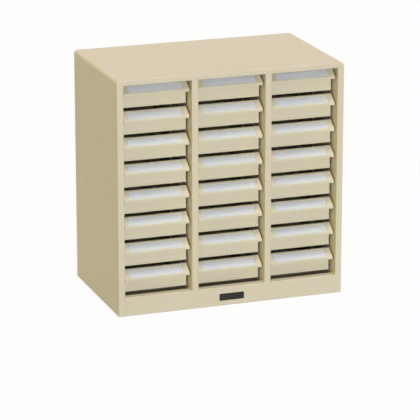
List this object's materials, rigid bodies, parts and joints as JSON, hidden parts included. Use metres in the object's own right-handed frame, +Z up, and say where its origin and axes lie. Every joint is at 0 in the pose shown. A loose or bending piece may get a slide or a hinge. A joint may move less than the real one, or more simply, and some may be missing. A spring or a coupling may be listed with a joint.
{
  "type": "small parts cabinet",
  "caption": "Free-standing sheet-steel cabinet with columns of small moulded pull-out drawers, each with a sloping label hood that serves as its pull.",
  "frame": {"origin": "centre of the footprint on the floor, with the nameplate counted in", "axes": "+X to the cabinet's right as seen from the front, -Y out of the front, +Z up"},
  "size_m": [0.592, 0.3558, 0.6],
  "materials": {
    "case_paint": "semi-gloss beige enamel",
    "drawer_plastic": "moulded, fine satin grain",
    "label_card": "plain white card",
    "label_window": "clear moulded plastic",
    "runner_zinc": "zinc-plated strip",
    "plate_black": "satin black, blank"
  },
  "bodies": {
    "cabinet": {"outer_shell": "case_paint", "back_panel": "case_paint", "floor_panel": "case_paint", "base_rail": "case_paint", "liner_left": "case_paint", "liner_right": "case_paint", "divider_ab": "case_paint", "divider_bc": "case_paint", "runners_a": "runner_zinc", "runners_b": "runner_zinc", "runners_c": "runner_zinc", "nameplate": "plate_black"},
    "drawer_a1": {"drawer_a1": "drawer_plastic", "label_a1": "label_card"},
    "drawer_a2": {"drawer_a2": "drawer_plastic", "label_a2": "label_card"},
    "drawer_a3": {"drawer_a3": "drawer_plastic", "label_a3": "label_card"},
    "drawer_a4": {"drawer_a4": "drawer_plastic", "label_a4": "label_card"},
    "drawer_a5": {"drawer_a5": "drawer_plastic", "label_a5": "label_card"},
    "drawer_a6": {"drawer_a6": "drawer_plastic", "label_a6": "label_card"},
    "drawer_a7": {"drawer_a7": "drawer_plastic", "label_a7": "label_card"},
    "drawer_a8": {"drawer_a8": "drawer_plastic", "label_a8": "label_card"},
    "drawer_b1": {"drawer_b1": "drawer_plastic", "label_b1": "label_card"},
    "drawer_b2": {"drawer_b2": "drawer_plastic", "label_b2": "label_card"},
    "drawer_b3": {"drawer_b3": "drawer_plastic", "label_b3": "label_card"},
    "drawer_b4": {"drawer_b4": "drawer_plastic", "label_b4": "label_card"},
    "drawer_b5": {"drawer_b5": "drawer_plastic", "label_b5": "label_card"},
    "drawer_b6": {"drawer_b6": "drawer_plastic", "label_b6": "label_card"},
    "drawer_b7": {"drawer_b7": "drawer_plastic", "label_b7": "label_card"},
    "drawer_b8": {"drawer_b8": "drawer_plastic", "label_b8": "label_card"},
    "drawer_c1": {"drawer_c1": "drawer_plastic", "label_c1": "label_card"},
    "drawer_c2": {"drawer_c2": "drawer_plastic", "label_c2": "label_card"},
    "drawer_c3": {"drawer_c3": "drawer_plastic", "label_c3": "label_card"},
    "drawer_c4": {"drawer_c4": "drawer_plastic", "label_c4": "label_card"},
    "drawer_c5": {"drawer_c5": "drawer_plastic", "label_c5": "label_card"},
    "drawer_c6": {"drawer_c6": "drawer_plastic", "label_c6": "label_card"},
    "drawer_c7": {"drawer_c7": "drawer_plastic", "label_c7": "label_card"},
    "drawer_c8": {"drawer_c8": "drawer_plastic", "label_c8": "label_card"}
  },
  "joints": [
    {"name": "slide_a1", "type": "slide", "parent": "cabinet", "child": "drawer_a1", "axis": [0, -1, 0], "range_m": [0, 0.24]},
    {"name": "slide_a2", "type": "slide", "parent": "cabinet", "child": "drawer_a2", "axis": [0, -1, 0], "range_m": [0, 0.24]},
    {"name": "slide_a3", "type": "slide", "parent": "cabinet", "child": "drawer_a3", "axis": [0, -1, 0], "range_m": [0, 0.24]},
    {"name": "slide_a4", "type": "slide", "parent": "cabinet", "child": "drawer_a4", "axis": [0, -1, 0], "range_m": [0, 0.24]},
    {"name": "slide_a5", "type": "slide", "parent": "cabinet", "child": "drawer_a5", "axis": [0, -1, 0], "range_m": [0, 0.24]},
    {"name": "slide_a6", "type": "slide", "parent": "cabinet", "child": "drawer_a6", "axis": [0, -1, 0], "range_m": [0, 0.24]},
    {"name": "slide_a7", "type": "slide", "parent": "cabinet", "child": "drawer_a7", "axis": [0, -1, 0], "range_m": [0, 0.24]},
    {"name": "slide_a8", "type": "slide", "parent": "cabinet", "child": "drawer_a8", "axis": [0, -1, 0], "range_m": [0, 0.24]},
    {"name": "slide_b1", "type": "slide", "parent": "cabinet", "child": "drawer_b1", "axis": [0, -1, 0], "range_m": [0, 0.24]},
    {"name": "slide_b2", "type": "slide", "parent": "cabinet", "child": "drawer_b2", "axis": [0, -1, 0], "range_m": [0, 0.24]},
    {"name": "slide_b3", "type": "slide", "parent": "cabinet", "child": "drawer_b3", "axis": [0, -1, 0], "range_m": [0, 0.24]},
    {"name": "slide_b4", "type": "slide", "parent": "cabinet", "child": "drawer_b4", "axis": [0, -1, 0], "range_m": [0, 0.24]},
    {"name": "slide_b5", "type": "slide", "parent": "cabinet", "child": "drawer_b5", "axis": [0, -1, 0], "range_m": [0, 0.24]},
    {"name": "slide_b6", "type": "slide", "parent": "cabinet", "child": "drawer_b6", "axis": [0, -1, 0], "range_m": [0, 0.24]},
    {"name": "slide_b7", "type": "slide", "parent": "cabinet", "child": "drawer_b7", "axis": [0, -1, 0], "range_m": [0, 0.24]},
    {"name": "slide_b8", "type": "slide", "parent": "cabinet", "child": "drawer_b8", "axis": [0, -1, 0], "range_m": [0, 0.24]},
    {"name": "slide_c1", "type": "slide", "parent": "cabinet", "child": "drawer_c1", "axis": [0, -1, 0], "range_m": [0, 0.24]},
    {"name": "slide_c2", "type": "slide", "parent": "cabinet", "child": "drawer_c2", "axis": [0, -1, 0], "range_m": [0, 0.24]},
    {"name": "slide_c3", "type": "slide", "parent": "cabinet", "child": "drawer_c3", "axis": [0, -1, 0], "range_m": [0, 0.24]},
    {"name": "slide_c4", "type": "slide", "parent": "cabinet", "child": "drawer_c4", "axis": [0, -1, 0], "range_m": [0, 0.24]},
    {"name": "slide_c5", "type": "slide", "parent": "cabinet", "child": "drawer_c5", "axis": [0, -1, 0], "range_m": [0, 0.24]},
    {"name": "slide_c6", "type": "slide", "parent": "cabinet", "child": "drawer_c6", "axis": [0, -1, 0], "range_m": [0, 0.24]},
    {"name": "slide_c7", "type": "slide", "parent": "cabinet", "child": "drawer_c7", "axis": [0, -1, 0], "range_m": [0, 0.24]},
    {"name": "slide_c8", "type": "slide", "parent": "cabinet", "child": "drawer_c8", "axis": [0, -1, 0], "range_m": [0, 0.24]}
  ]
}
